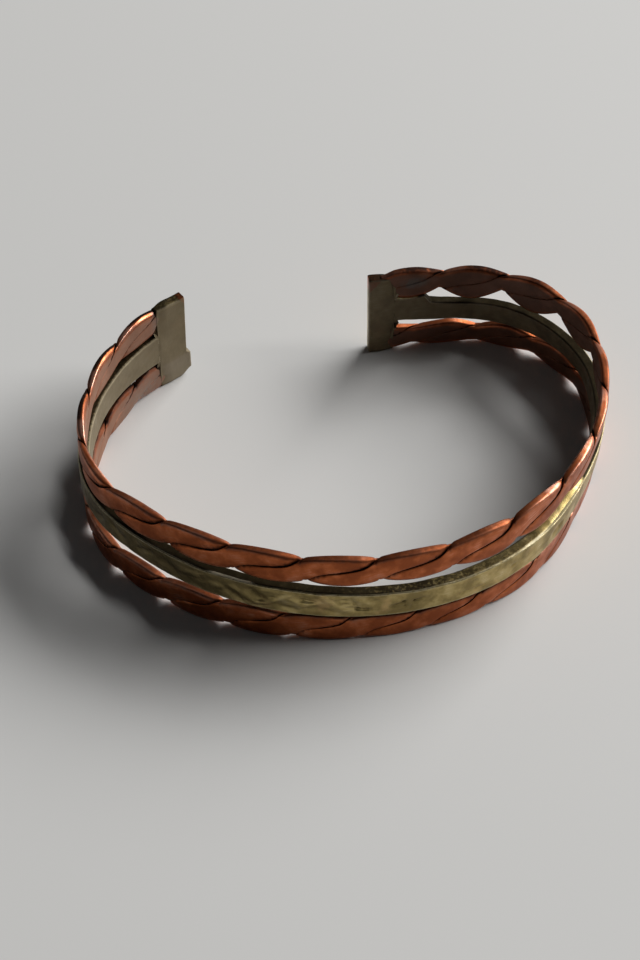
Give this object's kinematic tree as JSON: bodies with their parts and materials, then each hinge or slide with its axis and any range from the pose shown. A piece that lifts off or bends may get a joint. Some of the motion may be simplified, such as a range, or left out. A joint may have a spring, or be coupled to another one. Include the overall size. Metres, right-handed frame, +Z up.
{
  "type": "open cuff bracelet",
  "caption": "Open oval cuff: flattened copper wire twists above and below a hammered brass strip, brazed together at both ends.",
  "frame": {"origin": "middle of the oval's box, on the surface that the cuff lies on", "axes": "+Z up, along the axis of the wrist as the cuff lies on its side; +X along the long way of the oval, from the left end to the right end; +Y towards the gap between the ends"},
  "size_m": [0.0626, 0.0471, 0.0127],
  "materials": {
    "copper": null,
    "brass": "bare hammered brass strip, dull and brown in its creases, with brazed ends"
  },
  "bodies": {
    "root": {"upper_wire_a": "copper", "upper_wire_b": "copper", "brass_strip": "brass", "lower_wire_a": "copper", "lower_wire_b": "copper"}
  },
  "joints": []
}
